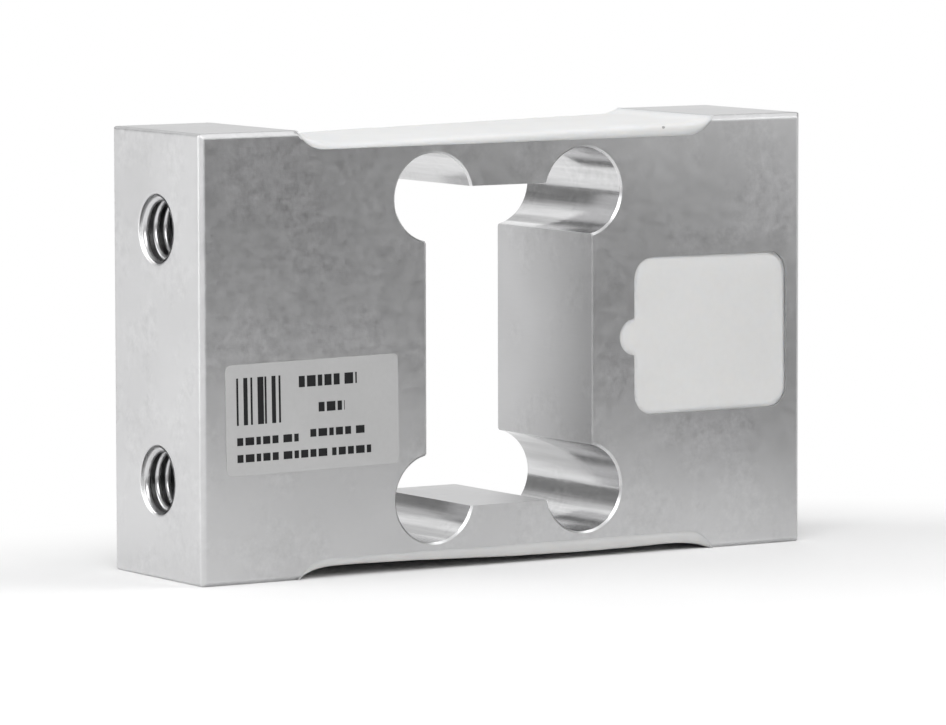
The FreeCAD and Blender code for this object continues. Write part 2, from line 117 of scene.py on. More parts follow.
# Where the flexure holes and the slot walls lie, mirrored about the block's middle
BLOCK_MIDDLE = 20.0 * MM
BORE_ASIDE = 8.0 * MM
BORE_LEVEL = 13.55 * MM
BORE_REACH = 4.02 * MM
SLOT_REACH = 9.0 * MM
SLOT_LEVEL = 13.85 * MM

# Worn roundness of the block's outer edges, in shading only, and where it is applied
EASED_EDGE = 0.28 * MM
EDGE_LEVEL = 19.2 * MM
EDGE_ASIDE = 31.2 * MM
# Where the chamfers begin, from the block's middle along each axis
CHAMFER_DEPTH = 7.5 * MM
CHAMFER_ASIDE = 31.7 * MM
CHAMFER_LEVEL = 19.5 * MM

# Recesses and the silicone poured into them; the two waves ripple its surface along X
RECESS_DEPTH = 1.75 * MM
RECESS_END_RADIUS = 3.0 * MM
POUR_STATIONS = 180
POUR_ACROSS = 26
POUR_EDGE_RADIUS = 0.4 * MM
POUR_EDGE_SHARE = 0.85
POUR_RIPPLE = 0.008 * MM
POUR_RIPPLE_DEPTH = 0.5 * MM
POUR_LONG_WAVE = 900.0
POUR_LONG_SHIFT = 1.3
POUR_SHORT_WAVE = 2100.0
POUR_SHORT_SHARE = 0.7
POUR_LEAST = 0.004 * MM
POUR_FEATHER = 0.03 * MM
POUR_LAP = 0.15 * MM
POUR_LIP = 0.12 * MM
POUR_RIM = 0.02 * MM
POUR_BRIM = 0.004 * MM
# Surface heights over the recess floor, mm, at shares of the flat floor's half length
TOP_SURFACE = [(-0.93, 0.48), (-0.46, 0.66), (0.0, 0.84), (0.46, 1.03), (0.93, 1.21)]
BOTTOM_SURFACE = [(-0.93, 0.72), (-0.52, 0.80), (0.0, 1.08), (0.52, 1.18), (0.93, 1.08)]
# Where the surface starts to climb past each end of that floor: run and height, mm
LEFT_FOOT = (1.0, 0.95)
RIGHT_FOOT = (1.2, 1.3)

# Open bubble in the top silicone: place in X and Z, width and height, mm
PORE_PLACE = (16.7, 39.04)
PORE_SIZE = (0.45, 0.28)
PORE_INSET = 0.03 * MM
PORE_HALF_DEPTH = 0.04 * MM

# Pocket outline
POCKET_CORNER_RADIUS = 2.0 * MM
RELIEF_RADIUS = 1.7 * MM
RELIEF_INSET = 0.1 * MM
CORNER_STEPS = 10
RELIEF_STEPS = 16
LONG_SIDE_STEPS = 14
SHORT_SIDE_STEPS = 8

# Pocket fill: rings inset from the outline, mm, then rings drawn toward the middle by shares
FILL_RINGS = [0.0, 0.06, 0.13, 0.22, 0.34, 0.5, 0.75, 1.1]
FILL_SHARES = [0.08, 0.17, 0.27, 0.4, 0.6, 0.85]
# Narrow sag along the wall, strongest at lower right, and its width, mm
FILL_SAG = 0.2 * MM
FILL_SAG_LEAST = 0.35
FILL_SAG_MORE = 0.5
FILL_SAG_WIDTH = 0.3
FILL_SAG_TOWARD = Vector((0.6, -0.8))
# Wide fall toward the upper right and how far it reaches in from the outline, mm
FILL_FALL = 0.22 * MM
FILL_REACH = 2.6
FILL_FALL_TOWARD = Vector((0.6, 0.8))
FILL_FALL_LEAST = 0.15

# Label film and the plain marks on it, mm from the film's lower left corner
LABEL_LENGTH = 17.8 * MM
LABEL_HEIGHT = 9.9 * MM
LABEL_TILT = math.radians(0.8)
INK_SINK = 0.0005 * MM
INK_RISE = 0.004 * MM
UPRIGHT_START = (1.1, 4.5)
UPRIGHT_PITCH = 0.72
UPRIGHT_HEIGHT = 4.2
UPRIGHT_WIDTHS = (0.2, 0.42, 0.2, 0.62, 0.2, 0.42, 0.2)
# Rows of dashes: start across, start up, length and height
DASH_ROWS = [(7.5, 7.5, 6.0, 1.0),
             (9.5, 5.2, 2.7, 0.85),
             (1.1, 2.7, 6.4, 0.7),
             (8.6, 3.0, 5.8, 0.7),
             (1.1, 1.2, 14.0, 0.7)]
DASH_WIDTHS = (0.62, 0.9, 0.46, 0.74)
DASH_GAP = 0.22
DASH_GROUP = 5
DASH_GROUP_GAP = 0.5

# Pieces sealed under the silicone: material slot, colour, roughness, metallic
SEALED_FINISHES = [("copper", (0.72, 0.43, 0.27), 0.35, 1.0),
                   ("foil", (0.62, 0.54, 0.44), 0.35, 1.0),
                   ("solder", (0.74, 0.74, 0.75), 0.28, 1.0),
                   ("carrier", (0.62, 0.36, 0.09), 0.3, 0.0),
                   ("strip", (0.62, 0.5, 0.24), 0.5, 0.0),
                   ("board", (0.04, 0.2, 0.09), 0.4, 0.0),
                   ("insulation", (0.8, 0.8, 0.78), 0.35, 0.0),
                   ("resistor", (0.03, 0.03, 0.03), 0.5, 0.0)]


# ---------------------------------------------------------------- node helpers

class Nodes:
    """Small builder for one material's or the world's node tree."""

    def __init__(self, tree):
        self.tree = tree
        tree.nodes.clear()

    def add(self, kind, **settings):
        node = self.tree.nodes.new(kind)
        for name, value in settings.items():
            setattr(node, name, value)
        return node

    def link(self, source, target):
        self.tree.links.new(source, target)

    def feed(self, socket, value):
        """Joins a socket to another node's output, or sets its own value."""
        if isinstance(value, bpy.types.NodeSocket):
            self.link(value, socket)
        elif value is not None:
            socket.default_value = value

    def math(self, operation, a, b=None):
        node = self.add("ShaderNodeMath", operation=operation)
        self.feed(node.inputs[0], a)
        self.feed(node.inputs[1], b)
        return node.outputs[0]

    def position(self, scale=(1.0, 1.0, 1.0)):
        coordinates = self.add("ShaderNodeTexCoord")
        mapping = self.add("ShaderNodeMapping")
        mapping.inputs["Scale"].default_value = scale
        self.link(coordinates.outputs["Object"], mapping.inputs["Vector"])
        return mapping.outputs["Vector"]

    def noise(self, vector, scale, detail, roughness):
        node = self.add("ShaderNodeTexNoise")
        node.inputs["Scale"].default_value = scale
        node.inputs["Detail"].default_value = detail
        node.inputs["Roughness"].default_value = roughness
        self.link(vector, node.inputs["Vector"])
        return node.outputs["Fac"]

    def remap(self, value, low, high, to_low, to_high, smooth=False):
        node = self.add("ShaderNodeMapRange")
        if smooth:
            node.interpolation_type = "SMOOTHSTEP"
        self.feed(node.inputs["Value"], value)
        node.inputs["From Min"].default_value = low
        node.inputs["From Max"].default_value = high
        node.inputs["To Min"].default_value = to_low
        node.inputs["To Max"].default_value = to_high
        return node.outputs["Result"]

    def grey(self, value):
        node = self.add("ShaderNodeCombineColor")
        for channel in range(3):
            self.feed(node.inputs[channel], value)
        return node.outputs["Color"]

    def tint(self, value, colour):
        """Colour multiplied by a grey value."""
        node = self.add("ShaderNodeMix", data_type="RGBA", blend_type="MULTIPLY")
        node.inputs["Factor"].default_value = 1.0
        node.inputs["A"].default_value = (*colour, 1.0)
        self.link(self.grey(value), node.inputs["B"])
        return node.outputs["Result"]

    def bump(self, height, strength, distance, normal=None):
        node = self.add("ShaderNodeBump")
        node.inputs["Strength"].default_value = strength
        node.inputs["Distance"].default_value = distance
        self.link(height, node.inputs["Height"])
        if normal is not None:
            self.link(normal, node.inputs["Normal"])
        return node.outputs["Normal"]

    def axes(self, output="Object"):
        """The place, or the direction in the world, as separate X, Y and Z."""
        coordinates = self.add("ShaderNodeTexCoord")
        split = self.add("ShaderNodeSeparateXYZ")
        self.link(coordinates.outputs[output], split.inputs[0])
        return split.outputs


def new_material(name):
    """Material with one principled shader: the material, its nodes and the shader."""
    material = bpy.data.materials.new(name)
    material.use_nodes = True
    nodes = Nodes(material.node_tree)
    shader = nodes.add("ShaderNodeBsdfPrincipled")
    output = nodes.add("ShaderNodeOutputMaterial")
    nodes.link(shader.outputs["BSDF"], output.inputs["Surface"])
    return material, nodes, shader


# ------------------------------------------------------------------- materials

def beam_masks(nodes):
    """Masks of the flexure hole walls, the slot's flat walls, the outer edges and their chamfers."""
    axes = nodes.axes()
    aside = nodes.math("ABSOLUTE", axes["X"])
    level = nodes.math("ABSOLUTE", nodes.math("SUBTRACT", axes["Z"], BLOCK_MIDDLE))
    across = nodes.math("POWER", nodes.math("SUBTRACT", aside, BORE_ASIDE), 2.0)
    along = nodes.math("POWER", nodes.math("SUBTRACT", level, BORE_LEVEL), 2.0)
    away = nodes.math("SQRT", nodes.math("ADD", across, along))
    bore = nodes.math("LESS_THAN", away, BORE_REACH)
    inside = nodes.math("MULTIPLY", nodes.math("LESS_THAN", aside, SLOT_REACH),
                        nodes.math("LESS_THAN", level, SLOT_LEVEL))
    slot = nodes.math("MULTIPLY", inside, nodes.math("SUBTRACT", 1.0, bore))
    edge = nodes.math("MAXIMUM", nodes.math("GREATER_THAN", level, EDGE_LEVEL),
                      nodes.math("GREATER_THAN", aside, EDGE_ASIDE))
    outward = nodes.math("MAXIMUM", nodes.math("GREATER_THAN", level, CHAMFER_LEVEL),
                         nodes.math("GREATER_THAN", aside, CHAMFER_ASIDE))
    depth = nodes.math("ABSOLUTE", axes["Y"])
    chamfer = nodes.math("MULTIPLY", outward, nodes.math("GREATER_THAN", depth, CHAMFER_DEPTH))
    return bore, slot, edge, chamfer


def aluminium_material():
    """Satin machined aluminium: blotchy faces, reamed holes with streaks, darker and rougher slot."""
    material, nodes, shader = new_material("satin_aluminium")
    bore, slot, edge, chamfer = beam_masks(nodes)
    place = nodes.position()
    cloud = nodes.noise(place, 60.0, 2.0, 0.5)
    patch = nodes.remap(nodes.noise(place, 190.0, 2.0, 0.5), 0.42, 0.6, 0.15, 1.0, smooth=True)
    blotch = nodes.math("SUBTRACT", nodes.noise(place, 1300.0, 4.0, 0.62), 0.5)
    lines = nodes.noise(nodes.position((0.06, 0.06, 1.0)), 9000.0, 2.0, 0.6)
    streak = nodes.noise(nodes.position((1.0, 0.05, 1.0)), 1100.0, 3.0, 0.6)
    streak = nodes.math("MULTIPLY", nodes.math("SUBTRACT", streak, 0.5), bore)
    spots = nodes.math("MULTIPLY", nodes.math("MULTIPLY", blotch, patch), 0.36)
    shade = nodes.math("ADD", nodes.remap(cloud, 0.3, 0.7, 0.94, 1.05), spots)
    shade = nodes.math("ADD", shade, nodes.math("MULTIPLY", streak, 0.55))
    # The slot's flat walls are made darker than the outer faces
    shade = nodes.math("SUBTRACT", shade, nodes.math("MULTIPLY", slot, 0.16))
    nodes.link(nodes.tint(shade, (0.67, 0.67, 0.675)), shader.inputs["Base Color"])
    shader.inputs["Metallic"].default_value = 1.0
    rough = nodes.math("ADD", nodes.remap(blotch, -0.2, 0.2, 0.33, 0.39),
                       nodes.remap(lines, 0.3, 0.7, -0.02, 0.02))
    rough = nodes.math("SUBTRACT", rough, nodes.math("MULTIPLY", bore, 0.19))
    rough = nodes.math("ADD", rough, nodes.math("MULTIPLY", slot, 0.24))
    rough = nodes.math("ADD", rough, nodes.math("MULTIPLY", chamfer, 0.12))
    nodes.link(rough, shader.inputs["Roughness"])
    eased = nodes.add("ShaderNodeBevel", samples=8)
    nodes.link(nodes.math("MULTIPLY", edge, EASED_EDGE), eased.inputs["Radius"])
    grain = nodes.bump(blotch, 0.06, 0.02 * MM, eased.outputs["Normal"])
    scored = nodes.bump(streak, 0.5, 0.03 * MM, grain)
    nodes.link(nodes.bump(lines, 0.06, 0.01 * MM, scored), shader.inputs["Normal"])
    return material


def thread_material():
    """Tapped thread: bright crests and flanks, roots darkened with painted shade."""
    material, nodes, shader = new_material("tapped_thread")
    fine = nodes.noise(nodes.position(), 2500.0, 3.0, 0.6)
    root_shade = nodes.add("ShaderNodeAttribute", attribute_name="root_shade")
    # Painted shade: the thread's colour falls toward 0.12 deep in the roots
    shade = nodes.math("ADD", nodes.remap(root_shade.outputs["Fac"], 0.25, 1.0, 1.0, 0.12),
                       nodes.remap(fine, 0.3, 0.7, -0.04, 0.04))
    nodes.link(nodes.tint(shade, (0.66, 0.66, 0.665)), shader.inputs["Base Color"])
    shader.inputs["Metallic"].default_value = 1.0
    nodes.link(nodes.remap(fine, 0.3, 0.7, 0.27, 0.36), shader.inputs["Roughness"])
    return material


def silicone_material(name, colour):
    """Cast white silicone: soft sheen, slight cloudiness."""
    material, nodes, shader = new_material(name)
    place = nodes.position()
    cloud = nodes.noise(place, 160.0, 3.0, 0.5)
    fine = nodes.noise(place, 1400.0, 3.0, 0.55)
    shade = nodes.math("ADD", nodes.remap(cloud, 0.3, 0.7, 0.97, 1.0),
                       nodes.remap(fine, 0.3, 0.7, -0.01, 0.01))
    nodes.link(nodes.tint(shade, colour), shader.inputs["Base Color"])
    nodes.link(nodes.remap(fine, 0.3, 0.7, 0.34, 0.46), shader.inputs["Roughness"])
    shader.inputs["Subsurface Weight"].default_value = 0.6
    shader.inputs["Subsurface Radius"].default_value = (1.0, 0.9, 0.8)
    shader.inputs["Subsurface Scale"].default_value = 1.0 * MM
    nodes.link(nodes.bump(cloud, 0.3, 0.08 * MM), shader.inputs["Normal"])
    return material


def film_material():
    """Silver grey label film: even, faintly mottled, semi-matt."""
    material, nodes, shader = new_material("label_film")
    place = nodes.position()
    fine = nodes.noise(place, 2500.0, 3.0, 0.6)
    cloud = nodes.noise(place, 200.0, 2.0, 0.5)
    shade = nodes.math("ADD", nodes.remap(fine, 0.3, 0.7, 0.98, 1.02),
                       nodes.remap(cloud, 0.3, 0.7, -0.02, 0.02))
    nodes.link(nodes.tint(shade, (0.52, 0.52, 0.52)), shader.inputs["Base Color"])
    shader.inputs["Metallic"].default_value = 0.35
    nodes.link(nodes.remap(fine, 0.3, 0.7, 0.42, 0.5), shader.inputs["Roughness"])
    nodes.link(nodes.bump(fine, 0.1, 0.01 * MM), shader.inputs["Normal"])
    return material


def ink_material():
    """Matt black thermal print, slightly uneven."""
    material, nodes, shader = new_material("black_print")
    fine = nodes.noise(nodes.position(), 6000.0, 2.0, 0.6)
    nodes.link(nodes.tint(nodes.remap(fine, 0.3, 0.7, 0.8, 1.3), (0.012, 0.012, 0.013)),
               shader.inputs["Base Color"])
    nodes.link(nodes.remap(fine, 0.3, 0.7, 0.5, 0.65), shader.inputs["Roughness"])
    shader.inputs["Specular IOR Level"].default_value = 0.2
    return material


def plain_material(name, colour, roughness, metallic=0.0):
    """Plain finish with a little grain in colour and roughness."""
    material, nodes, shader = new_material(name)
    fine = nodes.noise(nodes.position(), 1500.0, 3.0, 0.6)
    nodes.link(nodes.tint(nodes.remap(fine, 0.3, 0.7, 0.94, 1.06), colour),
               shader.inputs["Base Color"])
    nodes.link(nodes.remap(fine, 0.3, 0.7, roughness - 0.05, roughness + 0.05),
               shader.inputs["Roughness"])
    shader.inputs["Metallic"].default_value = metallic
    return material


def floor_material():
    """White sheet that keeps the shadow near the object and is seen as white behind it."""
    material, nodes, shader = new_material("pale_floor")
    fine = nodes.noise(nodes.position(), 30.0, 2.0, 0.5)
    axes = nodes.axes()
    across = nodes.math("SUBTRACT", nodes.math("MULTIPLY", axes["X"], math.cos(SHEET_TURN)),
                        nodes.math("MULTIPLY", axes["Y"], math.sin(SHEET_TURN)))
    side = nodes.remap(across, SHEET_EDGE, SHEET_EDGE + SHEET_FADE, 1.0, SHEET_BEYOND, smooth=True)
    ahead = nodes.remap(axes["Y"], SHEET_FRONT_END, SHEET_FRONT, SHEET_BEYOND, 1.0, smooth=True)
    sheet = nodes.math("MINIMUM", side, ahead)
    shade = nodes.math("MULTIPLY", sheet, nodes.remap(fine, 0.3, 0.7, 0.99, 1.01))
    nodes.link(nodes.tint(shade, (0.93, 0.93, 0.93)), shader.inputs["Base Color"])
    shader.inputs["Roughness"].default_value = 0.8
    glow = nodes.add("ShaderNodeEmission")
    glow.inputs["Strength"].default_value = 1.0
    beside = nodes.math("SUBTRACT", nodes.math("ABSOLUTE", axes["X"]), GLOW_HALF_WIDTH)
    beside = nodes.math("MAXIMUM", beside, 0.0)
    reach = nodes.math("ADD", axes["Y"], nodes.math("MULTIPLY", beside, GLOW_SLANT))
    far = nodes.remap(reach, GLOW_START, GLOW_FULL, 0.0, 1.0, smooth=True)
    path = nodes.add("ShaderNodeLightPath")
    seen = nodes.math("MAXIMUM", path.outputs["Is Camera Ray"], path.outputs["Is Glossy Ray"])
    seen = nodes.math("MAXIMUM", seen, path.outputs["Is Transmission Ray"])
    mix = nodes.add("ShaderNodeMixShader")
    nodes.link(nodes.math("MULTIPLY", far, seen), mix.inputs[0])
    nodes.link(shader.outputs["BSDF"], mix.inputs[1])
    nodes.link(glow.outputs["Emission"], mix.inputs[2])
    output = next(n for n in nodes.tree.nodes if n.type == "OUTPUT_MATERIAL")
    nodes.link(mix.outputs[0], output.inputs["Surface"])
    return material


# ------------------------------------------------------------------ mesh making

def mesh_object(name, vertices, faces, material, smooth=True):
    """New object from points and faces, its normals turned outward."""
    mesh = bpy.data.meshes.new(name)
    mesh.from_pydata(vertices, [], faces)
    mesh.update()
    work = bmesh.new()
    work.from_mesh(mesh)
    bmesh.ops.recalc_face_normals(work, faces=work.faces)
    work.to_mesh(mesh)
    work.free()
    mesh.polygons.foreach_set("use_smooth", [smooth] * len(mesh.polygons))
    mesh.materials.append(material)
    piece = bpy.data.objects.new(name, mesh)
    bpy.context.scene.collection.objects.link(piece)
    return piece


def grid_faces(rows, columns):
    """Quads between rows of points, each row's last point joined to its first."""
    faces = []
    for row in range(rows - 1):
        for column in range(columns):
            right = (column + 1) % columns
            faces.append((row * columns + column, row * columns + right,
                          (row + 1) * columns + right, (row + 1) * columns + column))
    return faces


def thread(name, mouth, inward, material):
    """Helical ridge inside one end hole, cut back by the countersink at its mouth."""
    profile = [(-THREAD_ROOT / 2, THREAD_MAJOR_RADIUS), (-THREAD_CREST / 2, THREAD_MINOR_RADIUS),
               (THREAD_CREST / 2, THREAD_MINOR_RADIUS), (THREAD_ROOT / 2, THREAD_MAJOR_RADIUS)]
    turns = THREAD_DEPTH / THREAD_PITCH
    count = int(turns * THREAD_STEPS)
    vertices = []
    for step in range(count + 1):
        angle = math.tau * step / THREAD_STEPS
        depth = THREAD_PITCH * step / THREAD_STEPS - THREAD_ROOT / 2
        for offset, radius in profile:
            along = max(depth + offset, 0.0)
            wide = min(max(radius, COUNTERSINK_RADIUS - along), THREAD_MAJOR_RADIUS)
            vertices.append(mouth + Vector((inward * along, wide * math.cos(angle * inward),
                                            wide * math.sin(angle * inward))))
    columns = len(profile)
    faces = grid_faces(count + 1, columns)
    faces += [tuple(range(columns)), tuple(range(count * columns, (count + 1) * columns))]
    piece = mesh_object(name, vertices, faces, material)
    # Painted shade in the roots: stronger toward the major radius and past the mouth's first turn
    root_shade = piece.data.attributes.new("root_shade", "FLOAT", "POINT")
    for index, vertex in enumerate(vertices):
        out = math.hypot(vertex.y - mouth.y, vertex.z - mouth.z)
        share = (out - THREAD_MINOR_RADIUS) / (THREAD_MAJOR_RADIUS - THREAD_MINOR_RADIUS)
        deep = (abs(vertex.x - mouth.x) - UNSHADED_MOUTH) / UNSHADED_MOUTH
        root_shade.data[index].value = min(max(share, 0.0), 1.0) * min(max(deep, 0.0), 1.0)
    return piece


def make_threads(material):
    """Threads of both end holes at the fixed end and at the load end."""
    low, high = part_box("beam_body")
    mounts = {m["name"]: m for m in frame["record"]["mounts"]}
    for end, name, inward, x in (("fixed", "fixed_end_screws", 1, low.x),
                                 ("load", "load_end_screws", -1, high.x)):
        centre = Vector(mounts[name]["pos_m"])
        half = mounts[name]["dims"]["spacing_y_mm"] * MM / 2
        for level, sign in (("upper", 1), ("lower", -1)):
            mouth = Vector((x, centre.y, centre.z + sign * half))
            piece = thread("thread_%s_%s" % (end, level), mouth, inward, material)
            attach(piece, "root")


def smooth_curve(points):
    """Height at any place by a spline through a few chosen points."""
    def height(x):
        if x <= points[0][0]:
            return points[0][1]
        for index in range(len(points) - 1):
            x0, y0 = points[index]
            x1, y1 = points[index + 1]
            if x <= x1:
                before = points[max(index - 1, 0)]
                after = points[min(index + 2, len(points) - 1)]
                run = x1 - x0
                slope0 = (y1 - before[1]) / (x1 - before[0]) * run
                slope1 = (after[1] - y0) / (after[0] - x0) * run
                t = (x - x0) / run
                return ((2 * t ** 3 - 3 * t ** 2 + 1) * y0 + (t ** 3 - 2 * t ** 2 + t) * slope0
                        + (-2 * t ** 3 + 3 * t ** 2) * y1 + (t ** 3 - t ** 2) * slope1)
        return points[-1][1]
    return height


def recess_pour(name, node, surface, material):
    """Silicone over one recess: wets the end arcs, rounded along front and back."""
    low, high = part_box(node)
    upward = node.startswith("top")
    front, back = low.y, high.y
    floor = low.z if upward else high.z
    half = (high.x - low.x) / 2
    lip = RECESS_DEPTH - POUR_LIP
    rise = RECESS_END_RADIUS - lip
    floor_half = half - math.sqrt(RECESS_END_RADIUS ** 2 - rise ** 2)
    arc_run = math.sqrt(RECESS_END_RADIUS ** 2 - (RECESS_END_RADIUS - RECESS_DEPTH) ** 2)
    outer = floor_half + arc_run + POUR_LAP
    brim = RECESS_DEPTH - POUR_BRIM
    rim = RECESS_DEPTH - POUR_RIM
    spots = [(-outer, brim), (-half, lip), (-floor_half - LEFT_FOOT[0] * MM, LEFT_FOOT[1] * MM)]
    spots += [(share * floor_half, height * MM) for share, height in surface]
    spots += [(floor_half + RIGHT_FOOT[0] * MM, RIGHT_FOOT[1] * MM), (half, rim), (outer, brim)]
    top_of = smooth_curve(spots)

    def base_of(x):
        past = min(max(abs(x) - floor_half, 0.0), arc_run)
        arc = RECESS_END_RADIUS - math.sqrt(RECESS_END_RADIUS ** 2 - past ** 2)
        return min(arc, RECESS_DEPTH - POUR_FEATHER)

    quarter = POUR_ACROSS // 2
    vertices = []
    for station in range(POUR_STATIONS + 1):
        x = -outer * math.cos(math.pi * station / POUR_STATIONS)
        base = base_of(x)
        top = max(top_of(x), base + POUR_LEAST)
        ripple = POUR_RIPPLE * (math.sin(x * POUR_LONG_WAVE + POUR_LONG_SHIFT)
                                + POUR_SHORT_SHARE * math.sin(x * POUR_SHORT_WAVE))
        top = max(top + ripple * min(1.0, (top - base) / POUR_RIPPLE_DEPTH), base + POUR_LEAST)
        top = min(top, brim)
        edge = min(POUR_EDGE_RADIUS, POUR_EDGE_SHARE * (top - base))
        row = [(front, base)]
        for step in range(quarter):
            turn = math.pi / 2 * step / (quarter - 1)
            row.append((front + edge * (1 - math.cos(turn)), top - edge * (1 - math.sin(turn))))
        for step in range(quarter):
            turn = math.pi / 2 * (1 - step / (quarter - 1))
            row.append((back - edge * (1 - math.cos(turn)), top - edge * (1 - math.sin(turn))))
        row.append((back, base))
        for y, z in row:
            vertices.append((x, y, floor + (z if upward else -z)))
    columns = POUR_ACROSS + 2
    rows = POUR_STATIONS + 1
    faces = grid_faces(rows, columns)
    faces += [tuple(range(columns)), tuple(range((rows - 1) * columns, rows * columns))]
    piece = mesh_object(name, vertices, faces, material)
    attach(piece, "root")
    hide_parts(node)


def pour_pore(material):
    """Open bubble in the front edge of the top silicone, seen as a small dark pit."""
    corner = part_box("top_potting")[0]
    bpy.ops.mesh.primitive_uv_sphere_add(segments=20, ring_count=12, radius=1.0)
    piece = bpy.context.object
    piece.name = "pour_pore"
    place = Vector((PORE_PLACE[0] * MM, corner.y + PORE_INSET, PORE_PLACE[1] * MM))
    shape = Matrix.Diagonal((PORE_SIZE[0] * MM / 2, PORE_HALF_DEPTH, PORE_SIZE[1] * MM / 2, 1.0))
    piece.data.transform(Matrix.Translation(place) @ shape)
    for polygon in piece.data.polygons:
        polygon.use_smooth = True
    piece.data.materials.append(material)
    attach(piece, "root")


def pocket_outline(low, high):
    """Rounded pocket with its half-round relief: points and inward directions."""
    right, left = high.x, low.x + RELIEF_RADIUS - RELIEF_INSET
    top, bottom = high.z, low.z
    middle = (top + bottom) / 2
    radius = POCKET_CORNER_RADIUS
    points = []

    def arc(cx, cz, r, start, end, steps):
        for step in range(steps + 1):
            angle = math.radians(start + (end - start) * step / steps)
            ahead = Vector((math.cos(angle), math.sin(angle)))
            points.append((Vector((cx, cz)) + ahead * r, -ahead))

    def side(start, end, inward, steps):
        for step in range(1, steps):
            points.append((start.lerp(end, step / steps), inward))

    arc(right - radius, top - radius, radius, 0, 90, CORNER_STEPS)
    side(Vector((right - radius, top)), Vector((left + radius, top)), Vector((0, -1)),
         LONG_SIDE_STEPS)
    arc(left + radius, top - radius, radius, 90, 180, CORNER_STEPS)
    relief_x = left + RELIEF_INSET
    reach = math.degrees(math.acos(-RELIEF_INSET / RELIEF_RADIUS))
    join = middle + RELIEF_RADIUS * math.sin(math.radians(reach))
    side(Vector((left, top - radius)), Vector((left, join)), Vector((1, 0)), SHORT_SIDE_STEPS)
    arc(relief_x, middle, RELIEF_RADIUS, reach, 360 - reach, RELIEF_STEPS)
    side(Vector((left, 2 * middle - join)), Vector((left, bottom + radius)), Vector((1, 0)),
         SHORT_SIDE_STEPS)
    arc(left + radius, bottom + radius, radius, 180, 270, CORNER_STEPS)
    side(Vector((left + radius, bottom)), Vector((right - radius, bottom)), Vector((0, 1)),
         LONG_SIDE_STEPS)
    arc(right - radius, bottom + radius, radius, 270, 360, CORNER_STEPS)
    side(Vector((right, bottom + radius)), Vector((right, top - radius)), Vector((-1, 0)),
         LONG_SIDE_STEPS)
    return points


def pocket_fill(name, node, material):
    """Silicone in the pocket: a face that sags along the walls, most toward the right."""
    low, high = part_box(node)
    outline = pocket_outline(low, high)
    centre = Vector(((low.x + RELIEF_RADIUS + high.x) / 2, (low.z + high.z) / 2))
    columns = len(outline)
    vertices = [(point.x, high.y, point.y) for point, _ in outline]
    rings = [(inset, 0.0) for inset in FILL_RINGS]
    rings += [(FILL_RINGS[-1], share) for share in FILL_SHARES]
    for inset, share in rings:
        for point, inward in outline:
            place = (point + inward * inset * MM).lerp(centre, share)
            aside = (point - centre).normalized()
            corner = 0.5 + 0.5 * aside.dot(FILL_SAG_TOWARD)
            sag = FILL_SAG * (FILL_SAG_LEAST + FILL_SAG_MORE * corner ** 2)
            sag *= math.exp(-(inset / FILL_SAG_WIDTH) ** 2)
            reach = min((inset + share * (point - centre).length / MM) / FILL_REACH, 1.0)
            fall = FILL_FALL * max(aside.dot(FILL_FALL_TOWARD), FILL_FALL_LEAST) * (1 - reach) ** 2
            vertices.append((place.x, low.y + sag * (1 - share) + fall, place.y))
    rows = len(rings) + 1
    vertices.append((centre.x, low.y, centre.y))
    faces = grid_faces(rows, columns)
    tip = len(vertices) - 1
    ring = (rows - 1) * columns
    faces += [(ring + i, ring + (i + 1) % columns, tip) for i in range(columns)]
    faces.append(tuple(range(columns)))
    piece = mesh_object(name, vertices, faces, material)
    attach(piece, "root")
    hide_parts(node)


# ------------------------------------------------------------------ plain marks

def mark_bars():
    """Each mark as left, bottom, width and height: a block of uprights and rows of dashes."""
    left, bottom = UPRIGHT_START
    bars = [(left + index * UPRIGHT_PITCH, bottom, wide, UPRIGHT_HEIGHT)
            for index, wide in enumerate(UPRIGHT_WIDTHS)]
    for left, bottom, run, tall in DASH_ROWS:
        start = 0.0
        count = 0
        while start < run:
            wide = min(DASH_WIDTHS[count % len(DASH_WIDTHS)], run - start)
            bars.append((left + start, bottom, wide, tall))
            ends_group = count % DASH_GROUP == DASH_GROUP - 1
            start += wide + (DASH_GROUP_GAP if ends_group else DASH_GAP)
            count += 1
    return bars


def label_marks(material):
    """Plain bars on the film in place of print."""
    low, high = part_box("rating_label")
    centre = (low + high) / 2
    turn = Matrix.Rotation(LABEL_TILT, 2)
    vertices, faces = [], []
    for left, bottom, wide, tall in mark_bars():
        base = len(vertices)
        for depth in (low.y + INK_SINK, low.y - INK_RISE):
            for dx, dy in ((0, 0), (wide, 0), (wide, tall), (0, tall)):
                flat = Vector(((left + dx) * MM - LABEL_LENGTH / 2,
                               (bottom + dy) * MM - LABEL_HEIGHT / 2))
                flat = turn @ flat
                vertices.append((centre.x + flat.x, depth, centre.z + flat.y))
        faces += [(base + a, base + b, base + c, base + d) for a, b, c, d in
                  ((0, 1, 2, 3), (4, 5, 6, 7), (0, 1, 5, 4), (1, 2, 6, 5), (2, 3, 7, 6), (3, 0, 4, 7))]
    piece = mesh_object("label_marks", vertices, faces, material, smooth=False)
    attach(piece, "root")


# ----------------------------------------------------------- dressing and studio

def dress(slot, material):
    """Gives the material to every CAD node of one material slot."""
    for entry in frame["record"]["subparts"]:
        if entry["material_slot"] != slot:
            continue
        mesh = frame["nodes"][entry["node"]].data
        if not mesh.materials:
            mesh.materials.append(material)
        for index in range(len(mesh.materials)):
            mesh.materials[index] = material


def make_floor():
    """Floor at the height of the CAD's lowest point."""
    bpy.ops.mesh.primitive_plane_add(size=FLOOR_SIZE, location=(0, 0, CAD_BOX[0][2]))
    floor = bpy.context.object
    floor.name = "floor"
    floor.data.materials.append(floor_material())


def area_light(name, power, size, place):
    data = bpy.data.lights.new(name, "AREA")
    data.energy = power
    data.size = size
    lamp = bpy.data.objects.new(name, data)
    lamp.location = place
    aim = LAMP_TARGET - Vector(place)
    lamp.rotation_euler = aim.to_track_quat("-Z", "Y").to_euler()
    bpy.context.scene.collection.objects.link(lamp)


